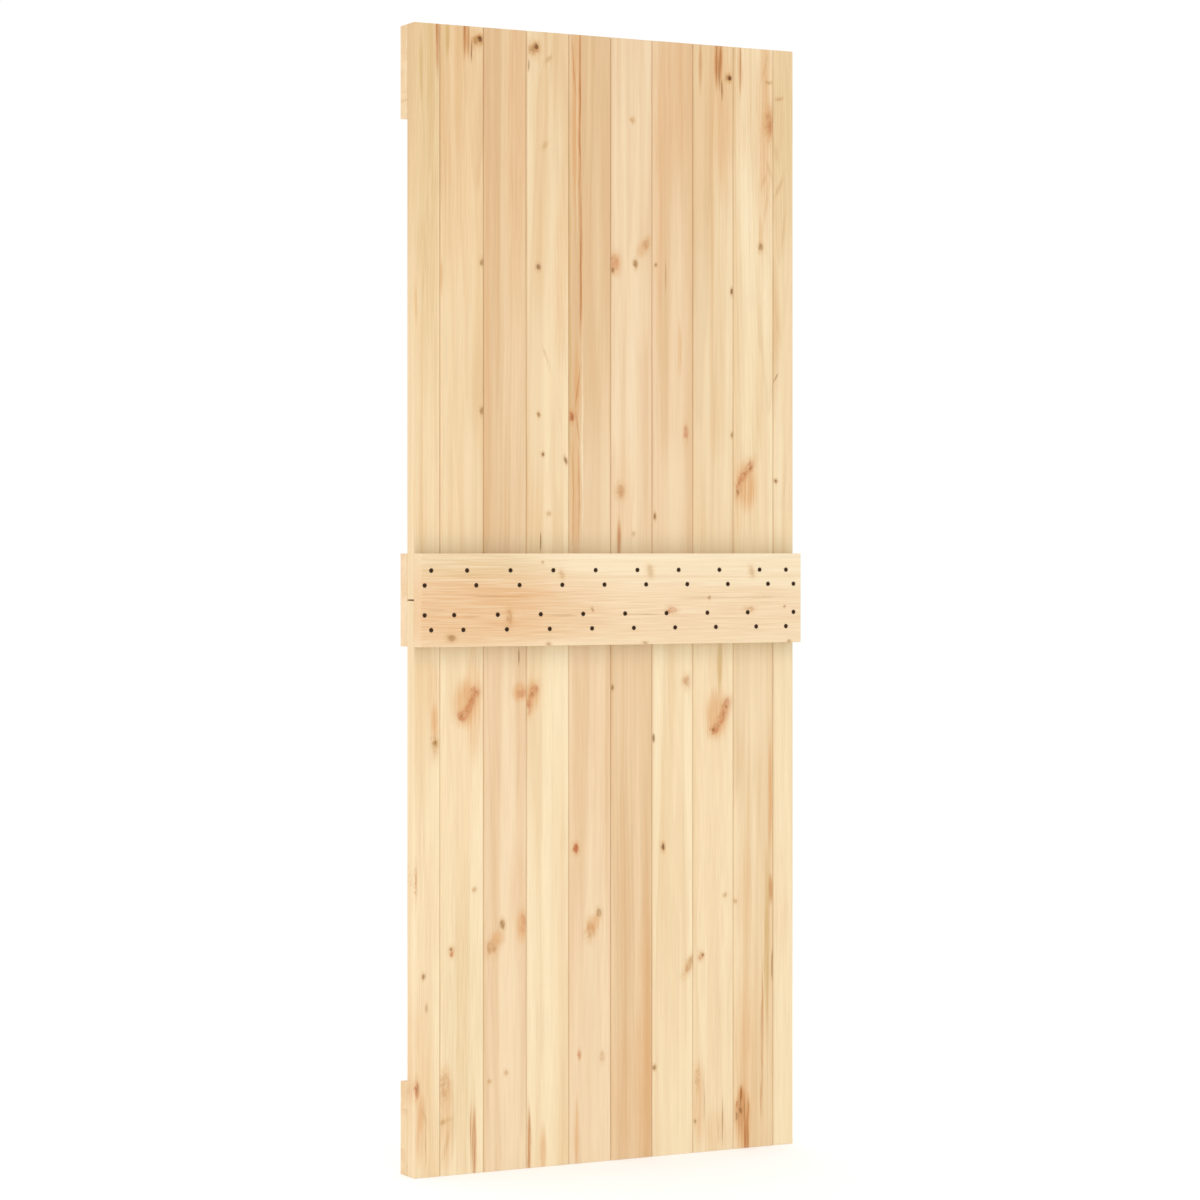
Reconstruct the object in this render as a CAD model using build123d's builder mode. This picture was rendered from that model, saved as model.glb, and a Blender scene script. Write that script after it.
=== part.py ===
"""Sliding door leaf of solid pine: two tiers of tongued and grooved planks, held together by four flat rails.

The upper and the lower planks butt end to end at mid height, behind a front and a back rail that splice them.
A further rail backs the top and another the bottom. All sizes are in millimetres.

Frame: +X runs to the right as seen from the front, +Y runs from the front to the back, +Z is up.
The origin is the centre of the top face of the top rail, where the door hangs.
"""

import os

from build123d import *

# Leaf
DOOR_WIDTH = 800.0
DOOR_HEIGHT = 2100.0

# Planks
PLANK_THICKNESS = 30.0
PLANK_COVER = 88.0  # visible face of a whole plank, from seam to seam
LEAST_EDGE_PLANKS = 80.0  # the two ripped edge planks are never narrower than this together
PLANKS_OFF_CENTRE = 4.5  # of the whole planks to the right, which leaves the left edge plank the wider one
SHOULDER_GAP = 0.4  # between the shoulders of two neighbours
TONGUE_LENGTH = 6.0
TONGUE_THICKNESS = 8.0
TONGUE_CHAMFER = 1.0
TONGUE_CLEARANCE = 0.3
SEAM_CHAMFER = 2.0  # two of them make the V of a seam
PLANK_ARRIS = 1.0  # broken outer corner of an edge plank
BUTT_GAP = 3.0  # between an upper plank and the lower one under it

# Rails
RAIL_HEIGHT = 170.0
RAIL_THICKNESS = 30.0
RAIL_ARRIS = 1.5

# Screws
HEAD_RADIUS = 4.0
HEAD_RIM = 0.5
SHANK_RADIUS = 2.25
SCREW_TIP = 4.0
SCREW_SINK = 0.6  # of the head below the face of its rail
HOLE_CLEARANCE = 0.15
SPLICE_BITE = 16.0  # of a splice screw in the back middle rail
BACK_BITE = 18.0  # of a top or bottom rail's screw in the planks

# Screw pattern: two slanting pairs in each plank, one above and one below the middle of the rail
INNER_ROW = 27.0  # above and below the middle of the rail
OUTER_ROW = 54.0
PAIR_STEP = 18.5  # sideways, between the two screws of a pair
UPPER_PAIR_INSET = 29.0  # from the right seam of a whole plank
LOWER_PAIR_INSET = 14.5  # from the left seam of a whole plank
END_CLEARANCE = 1.25  # wood between the left end's rounding and the outermost countersink
LEFT_PAIR_STEP = 13.0  # the edge planks have narrower pairs
RIGHT_END_INSET = 16.0  # from the right end to the outermost screw
GROOVE_WOOD = 2.2  # between a groove and the screw hole beside it

# Layers, from back to front
LEAF_BACK = RAIL_THICKNESS / 2
PLANK_BACK = -RAIL_THICKNESS / 2
PLANK_MIDDLE = PLANK_BACK - PLANK_THICKNESS / 2
PLANK_FRONT = PLANK_BACK - PLANK_THICKNESS
LEAF_FRONT = PLANK_FRONT - RAIL_THICKNESS

# Heights
MIDDLE_HEIGHT = -DOOR_HEIGHT / 2
TOP_RAIL_HEIGHT = -RAIL_HEIGHT / 2
BOTTOM_RAIL_HEIGHT = -DOOR_HEIGHT + RAIL_HEIGHT / 2

# Screws and their holes
HEAD_TAPER = HEAD_RADIUS - SHANK_RADIUS  # a 90 degree countersink is as deep as it is wide
HOLE_RADIUS = SHANK_RADIUS + HOLE_CLEARANCE
MOUTH_RADIUS = HEAD_RADIUS + SCREW_SINK + HEAD_RIM + HOLE_CLEARANCE
SPLICE_SCREW_LENGTH = RAIL_THICKNESS + PLANK_THICKNESS + SPLICE_BITE - SCREW_SINK
BACK_SCREW_LENGTH = RAIL_THICKNESS + BACK_BITE - SCREW_SINK
GROOVE_DEPTH = TONGUE_LENGTH - SHOULDER_GAP + TONGUE_CLEARANCE


def seam_places():
    """Places of the plank edges along X, from the left edge of the door to the right one."""
    whole_planks = int((DOOR_WIDTH - LEAST_EDGE_PLANKS) // PLANK_COVER)
    first_seam = PLANKS_OFF_CENTRE - whole_planks * PLANK_COVER / 2
    inner = [first_seam + n * PLANK_COVER for n in range(whole_planks + 1)]
    return [-DOOR_WIDTH / 2, *inner, DOOR_WIDTH / 2]


SEAMS = seam_places()
PLANK_COUNT = len(SEAMS) - 1
LAST_PLANK = PLANK_COUNT - 1
PLANK_NAMES = ["left_edge_plank", *(f"plank_{n}" for n in range(1, LAST_PLANK)), "right_edge_plank"]


def screw_column(plank):
    """The four screws that go into one plank: (sideways, upwards), measured from the middle of a rail."""
    left = SEAMS[plank]
    right = SEAMS[plank + 1]
    if plank == 0:
        outer = left + RAIL_ARRIS + END_CLEARANCE + MOUTH_RADIUS
        inner = outer + LEFT_PAIR_STEP
        places = [inner, outer, outer, inner]
    elif plank == LAST_PLANK:
        outer = right - RIGHT_END_INSET
        inner = left + SHOULDER_GAP / 2 + GROOVE_DEPTH + GROOVE_WOOD + HOLE_RADIUS
        places = [inner, outer, outer, inner]
    else:
        upper = right - UPPER_PAIR_INSET
        lower = left + LOWER_PAIR_INSET
        places = [upper - PAIR_STEP, upper, lower, lower + PAIR_STEP]
    return list(zip(places, [OUTER_ROW, INNER_ROW, -INNER_ROW, -OUTER_ROW]))


SCREW_COLUMNS = [screw_column(plank) for plank in range(PLANK_COUNT)]
ALL_SCREWS = [place for column in SCREW_COLUMNS for place in column]


def facing_front(depth, height):
    """Plane that looks out of the front, with local X to the right and local Y up."""
    return Plane(origin=(0, depth, height), x_dir=(1, 0, 0), z_dir=(0, -1, 0))


def facing_back(depth, height):
    """Plane that looks out of the back. Local X is turned round, so local places are mirrored."""
    return Plane(origin=(0, depth, height), x_dir=(-1, 0, 0), z_dir=(0, 1, 0))


def mirrored(places):
    """The same places, for a plane that faces back."""
    return [(-sideways, upwards) for sideways, upwards in places]


def save(part, name):
    """Labels a finished part and writes it as its own file."""
    part.label = name
    export_step(part, f"parts/{name}.step")


def make_plank(plank, low, high, splice_screws, back_rail_height):
    """One plank: tongue on its right side, groove on its left, a V along each seam, and its screw holes."""
    is_first = plank == 0
    is_last = plank == LAST_PLANK
    left = SEAMS[plank] if is_first else SEAMS[plank] + SHOULDER_GAP / 2
    right = SEAMS[plank + 1] if is_last else SEAMS[plank + 1] - SHOULDER_GAP / 2
    with BuildPart() as board:
        with BuildSketch(Plane.XY.offset(low)) as profile:
            with Locations(((left + right) / 2, PLANK_MIDDLE)):
                Rectangle(right - left, PLANK_THICKNESS)
            chamfer(profile.vertices().group_by(Axis.X)[0], PLANK_ARRIS if is_first else SEAM_CHAMFER)
            chamfer(profile.vertices().group_by(Axis.X)[-1], PLANK_ARRIS if is_last else SEAM_CHAMFER)
            if not is_last:
                with Locations((right, PLANK_MIDDLE)):
                    Rectangle(TONGUE_LENGTH, TONGUE_THICKNESS, align=(Align.MIN, Align.CENTER))
                chamfer(profile.vertices().group_by(Axis.X)[-1], TONGUE_CHAMFER)
            if not is_first:
                with Locations((left, PLANK_MIDDLE)):
                    Rectangle(
                        GROOVE_DEPTH,
                        TONGUE_THICKNESS + 2 * TONGUE_CLEARANCE,
                        align=(Align.MIN, Align.CENTER),
                        mode=Mode.SUBTRACT,
                    )
        extrude(amount=high - low)
        with Locations(facing_front(PLANK_FRONT, MIDDLE_HEIGHT)):
            with Locations(*splice_screws):
                Hole(HOLE_RADIUS, PLANK_THICKNESS)
        with Locations(facing_back(PLANK_BACK, back_rail_height)):
            with Locations(*mirrored(SCREW_COLUMNS[plank])):
                Hole(HOLE_RADIUS, BACK_BITE + HOLE_CLEARANCE)
    return board.part


def make_planks():
    """Two tiers of planks. Each tier takes the splice screws of its own half of the middle rails."""
    joint_top = MIDDLE_HEIGHT + BUTT_GAP / 2
    joint_bottom = MIDDLE_HEIGHT - BUTT_GAP / 2
    for plank, name in enumerate(PLANK_NAMES):
        upper_screws = SCREW_COLUMNS[plank][:2]
        lower_screws = SCREW_COLUMNS[plank][2:]
        upper = make_plank(plank, joint_top, 0, upper_screws, TOP_RAIL_HEIGHT)
        lower = make_plank(plank, -DOOR_HEIGHT, joint_bottom, lower_screws, BOTTOM_RAIL_HEIGHT)
        save(upper, f"upper_{name}")
        save(lower, f"lower_{name}")


def make_countersunk_rail(depth, height, face_plane, outer_side, places):
    """A rail screwed on from outside: rounded edges on its outer face, countersunk holes through it."""
    with BuildPart() as rail:
        with Locations((0, depth, height)):
            Box(DOOR_WIDTH, RAIL_THICKNESS, RAIL_HEIGHT)
        fillet(rail.faces().sort_by(Axis.Y)[outer_side].edges(), RAIL_ARRIS)
        with Locations(face_plane):
            with Locations(*places):
                CounterSinkHole(HOLE_RADIUS, MOUTH_RADIUS, depth=RAIL_THICKNESS, counter_sink_angle=90)
    return rail.part


def make_rails():
    """The four rails: one over the front of the middle joint, three on the back."""
    front_depth = (LEAF_FRONT + PLANK_FRONT) / 2
    back_depth = (PLANK_BACK + LEAF_BACK) / 2
    front_face = facing_front(LEAF_FRONT, MIDDLE_HEIGHT)
    front_rail = make_countersunk_rail(front_depth, MIDDLE_HEIGHT, front_face, 0, ALL_SCREWS)
    save(front_rail, "front_middle_rail")
    for name, height in (("back_top_rail", TOP_RAIL_HEIGHT), ("back_bottom_rail", BOTTOM_RAIL_HEIGHT)):
        back_face = facing_back(LEAF_BACK, height)
        back_rail = make_countersunk_rail(back_depth, height, back_face, -1, mirrored(ALL_SCREWS))
        save(back_rail, name)

    with BuildPart() as back_middle_rail:
        with Locations((0, back_depth, MIDDLE_HEIGHT)):
            Box(DOOR_WIDTH, RAIL_THICKNESS, RAIL_HEIGHT)
        fillet(back_middle_rail.faces().sort_by(Axis.Y)[-1].edges(), RAIL_ARRIS)
        with Locations(facing_front(PLANK_BACK, MIDDLE_HEIGHT)):
            with Locations(*ALL_SCREWS):
                Hole(HOLE_RADIUS, SPLICE_BITE + HOLE_CLEARANCE)
    save(back_middle_rail.part, "back_middle_rail")


def make_screw(length):
    """A countersunk wood screw that points down, with the top of its head on the XY plane."""
    with BuildPart() as screw:
        with BuildSketch(Plane.XZ):
            with BuildLine():
                Polyline(
                    (0, 0),
                    (HEAD_RADIUS, 0),
                    (HEAD_RADIUS, -HEAD_RIM),
                    (SHANK_RADIUS, -HEAD_RIM - HEAD_TAPER),
                    (SHANK_RADIUS, SCREW_TIP - length),
                    (0, -length),
                    close=True,
                )
            make_face()
        revolve(axis=Axis.Z)
    return screw.part


def make_screw_rows(rail_name, screw, plane, places_of_rows):
    """One file for each row of screws in a rail, from the top row down."""
    for row, places in enumerate(places_of_rows):
        with BuildPart() as screws:
            with Locations(plane):
                with Locations(*places):
                    add(screw)
        save(screws.part, f"{rail_name}_screws_row_{row + 1}")


def make_screws():
    """Splice screws driven from the front, and the top and bottom rails' screws driven from the back."""
    front_rows = [[column[row] for column in SCREW_COLUMNS] for row in range(4)]
    back_rows = [mirrored(row) for row in front_rows]
    splice_plane = facing_front(LEAF_FRONT + SCREW_SINK, MIDDLE_HEIGHT)
    make_screw_rows("front_middle_rail", make_screw(SPLICE_SCREW_LENGTH), splice_plane, front_rows)
    back_screw = make_screw(BACK_SCREW_LENGTH)
    for name, height in (("back_top_rail", TOP_RAIL_HEIGHT), ("back_bottom_rail", BOTTOM_RAIL_HEIGHT)):
        make_screw_rows(name, back_screw, facing_back(LEAF_BACK - SCREW_SINK, height), back_rows)


os.makedirs("parts", exist_ok=True)
make_planks()
make_rails()
make_screws()
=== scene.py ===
"""Looks of a sliding door leaf of planed pine: rings, knots and resin streaks on every board, black screws.

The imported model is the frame: its planks and rails keep their own meshes and get a pine of their own, one
for each board. The screw rows are built again here, with a cross recess in every head. Lengths in tables
and fields are millimetres where no comment says otherwise. Places are measured to the right from the left
edge of the door and upwards from its foot.
"""

import logging
import math
from dataclasses import dataclass
from enum import Enum
from typing import Any

import bpy
import numpy as np
from mathutils import Euler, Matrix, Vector


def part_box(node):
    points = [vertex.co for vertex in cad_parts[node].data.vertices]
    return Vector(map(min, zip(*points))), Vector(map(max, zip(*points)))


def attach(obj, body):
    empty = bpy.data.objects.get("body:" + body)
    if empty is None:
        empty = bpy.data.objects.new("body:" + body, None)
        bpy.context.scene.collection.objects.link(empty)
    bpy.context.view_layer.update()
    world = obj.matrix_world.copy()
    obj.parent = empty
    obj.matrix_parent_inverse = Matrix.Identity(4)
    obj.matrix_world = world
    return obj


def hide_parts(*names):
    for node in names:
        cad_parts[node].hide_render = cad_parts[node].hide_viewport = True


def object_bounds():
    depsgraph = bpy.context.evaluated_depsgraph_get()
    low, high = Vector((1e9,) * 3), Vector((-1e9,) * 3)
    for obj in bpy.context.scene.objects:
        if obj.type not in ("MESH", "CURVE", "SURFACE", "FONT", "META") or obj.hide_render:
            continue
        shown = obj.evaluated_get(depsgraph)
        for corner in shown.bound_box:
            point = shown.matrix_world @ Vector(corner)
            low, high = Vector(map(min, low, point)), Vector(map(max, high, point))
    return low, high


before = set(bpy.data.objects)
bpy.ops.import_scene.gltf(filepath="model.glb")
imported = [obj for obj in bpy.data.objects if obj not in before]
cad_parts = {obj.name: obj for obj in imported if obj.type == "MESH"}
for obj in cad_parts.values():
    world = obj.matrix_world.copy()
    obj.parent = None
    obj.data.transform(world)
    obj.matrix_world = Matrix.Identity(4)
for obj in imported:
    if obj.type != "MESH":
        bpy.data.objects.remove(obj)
CAD_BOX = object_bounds()

LOG = logging.getLogger("door")
MM = 0.001  # metres
ANY_DEPTH = 1000.0  # metres, a pattern scaled this far along an axis no longer changes along it
LEFT_EDGE = CAD_BOX[0].x
FOOT = CAD_BOX[0].z
WHITE = (1.0, 1.0, 1.0, 1.0)

# Sockets that are asked for by number.
MIX_FROM, MIX_TO, MIXED = 6, 7, 2  # the two colours of a colour mix, and its result
OBJECT_PLACE = 3  # of Texture Coordinate
NORMAL = 1  # of Geometry
VECTOR_VALUE = 1  # of Vector Math, where the result is one number
NOISE_COLOUR = 1  # of Noise Texture
X, Y, Z = 0, 1, 2  # of Separate XYZ, and in arrays of points


def linear(code: str) -> tuple[float, float, float, float]:
    """Turns an sRGB hex colour into linear light.

    Args:
        code: the colour as "#RRGGBB".

    Returns:
        Red, green, blue and an opaque alpha, each 0 to 1.
    """
    srgb = np.array([int(code[n : n + 2], 16) for n in (1, 3, 5)]) / 255.0
    light = np.where(srgb <= 0.04045, srgb / 12.92, ((srgb + 0.055) / 1.055) ** 2.4)
    return (*light.tolist(), 1.0)


def door_point(across: float, up: float) -> tuple[float, float, float]:
    """Turns a place on the door's face into the row frame.

    Args:
        across: millimetres to the right of the left edge.
        up: millimetres above the foot.

    Returns:
        The place in metres, at no depth.
    """
    return (LEFT_EDGE + across * MM, 0.0, FOOT + up * MM)


class Graph:
    """The node tree of one material or world."""

    def __init__(self, owner: bpy.types.ID) -> None:
        """Clears the tree of owner, a material or a world."""
        owner.use_nodes = True
        self.tree = owner.node_tree
        self.tree.nodes.clear()

    def add(self, kind: str, inputs: dict[int | str, Any], out: int = 0,
            stops: tuple[tuple[float, float], ...] = (), **settings: Any) -> bpy.types.NodeSocket:
        """Adds one node with its settings and links.

        The inputs 0 to 4 of a Map Range are the value, the two ends of the range it is read on and the two
        ends of the range it is put on.

        Args:
            kind: the node's type name, without its leading ShaderNode.
            inputs: what each input gets, by its number or name: a socket to link, or a value.
            out: the number of the output to return.
            stops: the stops of a colour ramp, as (place, grey level).
            **settings: the node's own properties.

        Returns:
            The node's output socket, or its first input where it has no output.
        """
        node = self.tree.nodes.new(f"ShaderNode{kind}")
        for name, value in settings.items():
            setattr(node, name, value)
        elements = node.color_ramp.elements if stops else ()
        for place, _ in stops[len(elements) :]:
            elements.new(place)
        for element, (place, level) in zip(elements, stops):
            element.position = place
            element.color = (level, level, level, 1.0)
        for key, value in inputs.items():
            if isinstance(value, bpy.types.NodeSocket):
                self.tree.links.new(value, node.inputs[key])
            else:
                node.inputs[key].default_value = value
        return node.outputs[out] if node.outputs else node.inputs[0]


@dataclass(frozen=True)
class PineTone:
    """The colours of one board: its earlywood, its latewood lines and its broad warm bands."""

    early: str
    late: str
    band: str


class Tone(Enum):
    """The tones that the boards of this door were picked in, from sapwood to heartwood."""

    IVORY = PineTone("#EFDDBC", "#DDC096", "#E9D0A9")
    CREAM = PineTone("#EEDBB6", "#D9BA8C", "#E5C99E")
    HONEY = PineTone("#EAD3AC", "#D4B185", "#DFC094")
    STRAW = PineTone("#E8CFA6", "#D2AE80", "#DCBA8B")
    BLUSH = PineTone("#E9D1AD", "#D3B088", "#DEBD94")
    PEACH = PineTone("#E5C9A3", "#CFAA7F", "#DAB68B")
    TAN = PineTone("#E2C59D", "#CBA67A", "#D6B286")


@dataclass(frozen=True)
class MarkLook:
    """How one kind of mark colours the wood: its core, the stain round it, and if rings bend round it."""

    core: str
    halo: str
    core_share: float  # how much of the core's colour covers the wood
    halo_share: float
    halo_across: float  # how far the stain reaches, in half sizes of the mark
    halo_along: float
    bends_rings: bool
    broken: float  # how far fibres, or flecks in a knot, break the mark up


class Kind(Enum):
    """The marks that pine shows."""

    DARK_KNOT = MarkLook("#603406", "#BC803A", 0.97, 0.65, 2.1, 2.6, True, 0.25)
    RED_KNOT = MarkLook("#B5673B", "#D09A66", 0.85, 0.65, 1.9, 2.2, True, 0.65)
    TAN_KNOT = MarkLook("#BD8857", "#D0A26D", 0.72, 0.6, 2.0, 2.2, True, 0.7)
    GREY_KNOT = MarkLook("#946A38", "#C6995A", 0.8, 0.55, 2.0, 2.3, True, 0.45)
    PIN_KNOT = MarkLook("#744514", "#C28F4E", 0.8, 0.5, 2.1, 2.2, False, 0.1)
    SMEAR = MarkLook("#B3844E", "#CDA26A", 0.5, 0.35, 1.8, 2.2, False, 0.3)
    RESIN = MarkLook("#B06C33", "#CB9355", 0.9, 0.6, 2.0, 1.25, False, 0.5)
    HEARTWOOD = MarkLook("#D2995F", "#D7A772", 0.5, 0.35, 1.5, 1.2, False, 0.45)
    SAPWOOD = MarkLook("#F2E3C2", "#F0DFBC", 0.55, 0.35, 1.5, 1.2, False, 0.2)
    OCHRE = MarkLook("#C09A58", "#CEAD74", 0.65, 0.4, 1.5, 1.2, False, 0.45)
    CHECK = MarkLook("#744616", "#BC8B4C", 0.75, 0.35, 2.4, 1.3, False, 0.15)


@dataclass(frozen=True)
class Mark:
    """One mark on a board's face: kind, place across and up the door, width and height."""

    kind: Kind
    across: float
    up: float
    wide: float
    tall: float
    share: float = 1.0  # of the kind's full strength
    lean: float = 0.0  # degrees, clockwise as seen from the front


@dataclass(frozen=True)
class Board:
    """One board: its tone, how it was sawn from the log, and its marks.

    heart is how far the log's heart lies to the right of the board's middle, or above it for a rail, depth
    is how far the heart lies behind the board, and tilt is the angle between heart and board, in degrees.
    """

    tone: Tone
    heart: float
    depth: float
    tilt: float = 0.0
    ring: float = 5.0  # between growth rings
    marks: tuple[Mark, ...] = ()
    glue_lines: tuple[float, ...] = ()  # heights of the joints in a rail that is glued up from strips
    contrast: float = 1.0  # of its rings, bands and stripes
    wavy: float = 0.55  # how strong the short waves in its rings are, against the long ones


class Grain(Enum):
    """The way a board's grain runs, as the turn that brings it upright."""

    UPRIGHT = (0.0, 0.0, 0.0)
    SIDEWAYS = (0.0, math.pi / 2, 0.0)


K = Kind  # a short name for the tables below

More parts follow.
